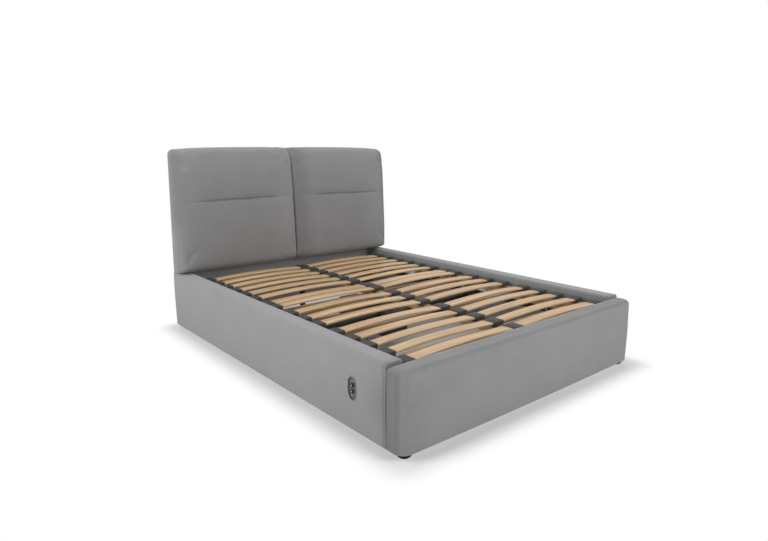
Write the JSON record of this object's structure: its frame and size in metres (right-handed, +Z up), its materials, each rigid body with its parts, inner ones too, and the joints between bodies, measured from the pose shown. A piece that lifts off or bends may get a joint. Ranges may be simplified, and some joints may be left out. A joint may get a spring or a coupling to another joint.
{
  "type": "adjustable bed base",
  "caption": "Upholstered bed base with a cushioned headboard, a rail switch and a motor driven slatted deck whose back and leg sections lift.",
  "frame": {"origin": "on the floor under the middle of the bed", "axes": "+Z up, +Y from the footboard to the headboard, +X to the right when seen from the foot; the switch is on the -X rail"},
  "size_m": [1.716, 2.29, 1.1859],
  "materials": {
    "upholstery": "matt woven",
    "lining": "thin non-woven",
    "slat_wood": "clear lacquer",
    "frame_wood": "clear lacquer",
    "black_steel": "satin powder coat",
    "zinc_steel": "zinc plated",
    "cap_rubber": "matt",
    "drive_plastic": "fine grain",
    "foot_plastic": "matt",
    "nylon": "smooth",
    "motor_metal": "cast",
    "switch_metal": "satin",
    "button_plastic": "glossy"
  },
  "bodies": {
    "bedstead": {"base_cross_members": "frame_wood", "base_side_members": "frame_wood", "centre_legs": "black_steel", "control_box": "drive_plastic", "corner_brackets": "black_steel", "drive_case_lower": "drive_plastic", "drive_case_upper": "drive_plastic", "footboard": "upholstery", "gear_motors": "motor_metal", "glide_feet": "foot_plastic", "headboard_panel": "lining", "left_headboard_cushion": "upholstery", "left_side_rail": "upholstery", "rail_ledgers": "black_steel", "right_headboard_cushion": "upholstery", "right_side_rail": "upholstery", "seat_hinge_pins": "zinc_steel", "seat_hinge_plates": "zinc_steel", "seat_rails": "frame_wood", "seat_slat_caps": "cap_rubber", "seat_slats": "slat_wood", "shaft_bushes": "nylon", "shaft_hangers": "black_steel", "switch_bezel": "switch_metal", "switch_housing": "drive_plastic"},
    "back_section": {"back_rails": "frame_wood", "back_cross_bars": "frame_wood", "back_slats": "slat_wood", "back_slat_caps": "cap_rubber", "back_lift_pads": "nylon"},
    "thigh_section": {"thigh_rails": "frame_wood", "thigh_cross_bars": "frame_wood", "thigh_slats": "slat_wood", "thigh_slat_caps": "cap_rubber", "thigh_lift_pads": "nylon", "knee_hinge_plates": "zinc_steel", "knee_hinge_pins": "zinc_steel"},
    "calf_section": {"calf_rails": "frame_wood", "calf_cross_bars": "frame_wood", "calf_slats": "slat_wood", "calf_slat_caps": "cap_rubber", "calf_axles": "zinc_steel"},
    "back_lift": {"back_lift_shaft": "black_steel", "back_lift_arms": "black_steel", "back_drive_lever": "black_steel"},
    "leg_lift": {"leg_lift_shaft": "black_steel", "leg_lift_arms": "black_steel", "leg_drive_lever": "black_steel"},
    "back_nut": {"back_slider": "drive_plastic"},
    "leg_nut": {"leg_slider": "drive_plastic"},
    "back_screw": {"back_spindle": "zinc_steel"},
    "leg_screw": {"leg_spindle": "zinc_steel"},
    "back_wheel_left": {"back_roller_left": "nylon"},
    "back_wheel_right": {"back_roller_right": "nylon"},
    "leg_wheel_left": {"leg_roller_left": "nylon"},
    "leg_wheel_right": {"leg_roller_right": "nylon"},
    "calf_wheel_left": {"calf_roller_left": "nylon"},
    "calf_wheel_right": {"calf_roller_right": "nylon"},
    "raise_key": {"raise_button": "button_plastic"},
    "lower_key": {"lower_button": "button_plastic"}
  },
  "joints": [
    {"name": "back_raise", "type": "hinge", "parent": "bedstead", "child": "back_section", "pos_m": [0, 0.225, 0.308], "axis": [1, 0, 0], "range_deg": [0, 60]},
    {"name": "leg_raise", "type": "hinge", "parent": "bedstead", "child": "thigh_section", "pos_m": [0, -0.015, 0.308], "axis": [-1, 0, 0], "range_deg": [0, 35]},
    {"name": "calf_fold", "type": "hinge", "parent": "thigh_section", "child": "calf_section", "pos_m": [0, -0.425, 0.308], "axis": [1, 0, 0], "range_deg": [0, 60]},
    {"name": "back_shaft_turn", "type": "hinge", "parent": "bedstead", "child": "back_lift", "pos_m": [0, 0.265, 0.208], "axis": [1, 0, 0], "range_deg": [0, 60.1]},
    {"name": "leg_shaft_turn", "type": "hinge", "parent": "bedstead", "child": "leg_lift", "pos_m": [0, -0.055, 0.208], "axis": [-1, 0, 0], "range_deg": [0, 35.1]},
    {"name": "back_nut_push", "type": "slide", "parent": "bedstead", "child": "back_nut", "axis": [0, 1, 0], "range_m": [0, 0.1002]},
    {"name": "leg_nut_push", "type": "slide", "parent": "bedstead", "child": "leg_nut", "axis": [0, -1, 0], "range_m": [0, 0.0604]},
    {"name": "back_screw_turn", "type": "hinge", "parent": "bedstead", "child": "back_screw", "pos_m": [0, 0.25, 0.122], "axis": [0, 1, 0], "range_deg": [0, 4520]},
    {"name": "leg_screw_turn", "type": "hinge", "parent": "bedstead", "child": "leg_screw", "pos_m": [0, -0.05, 0.122], "axis": [0, 1, 0], "range_deg": [0, 2720]},
    {"name": "back_wheel_left_spin", "type": "hinge", "parent": "back_lift", "child": "back_wheel_left", "pos_m": [0, 0.55223, 0.248], "axis": [1, 0, 0], "continuous": true},
    {"name": "back_wheel_right_spin", "type": "hinge", "parent": "back_lift", "child": "back_wheel_right", "pos_m": [0, 0.55223, 0.248], "axis": [1, 0, 0], "continuous": true},
    {"name": "leg_wheel_left_spin", "type": "hinge", "parent": "leg_lift", "child": "leg_wheel_left", "pos_m": [0, -0.24074, 0.248], "axis": [1, 0, 0], "continuous": true},
    {"name": "leg_wheel_right_spin", "type": "hinge", "parent": "leg_lift", "child": "leg_wheel_right", "pos_m": [0, -0.24074, 0.248], "axis": [1, 0, 0], "continuous": true},
    {"name": "calf_wheel_left_spin", "type": "hinge", "parent": "calf_section", "child": "calf_wheel_left", "pos_m": [0, -0.988, 0.304], "axis": [1, 0, 0], "continuous": true},
    {"name": "calf_wheel_right_spin", "type": "hinge", "parent": "calf_section", "child": "calf_wheel_right", "pos_m": [0, -0.988, 0.304], "axis": [1, 0, 0], "continuous": true},
    {"name": "raise_press", "type": "slide", "parent": "bedstead", "child": "raise_key", "axis": [1, 0, 0], "range_m": [0, 0.002], "stiffness_N_per_m": 600, "springref_m": -0.001},
    {"name": "lower_press", "type": "slide", "parent": "bedstead", "child": "lower_key", "axis": [1, 0, 0], "range_m": [0, 0.002], "stiffness_N_per_m": 600, "springref_m": -0.001}
  ],
  "couplings": [
    {"joint": "calf_fold", "follows": "leg_raise", "ratio": 1.706},
    {"joint": "back_shaft_turn", "follows": "back_raise", "ratio": 1},
    {"joint": "leg_shaft_turn", "follows": "leg_raise", "ratio": 1},
    {"joint": "back_nut_push", "follows": "back_raise", "m_per_rad": 0.09549},
    {"joint": "leg_nut_push", "follows": "leg_raise", "m_per_rad": 0.09845},
    {"joint": "back_screw_turn", "follows": "back_raise", "ratio": 75},
    {"joint": "leg_screw_turn", "follows": "leg_raise", "ratio": 77.324}
  ]
}
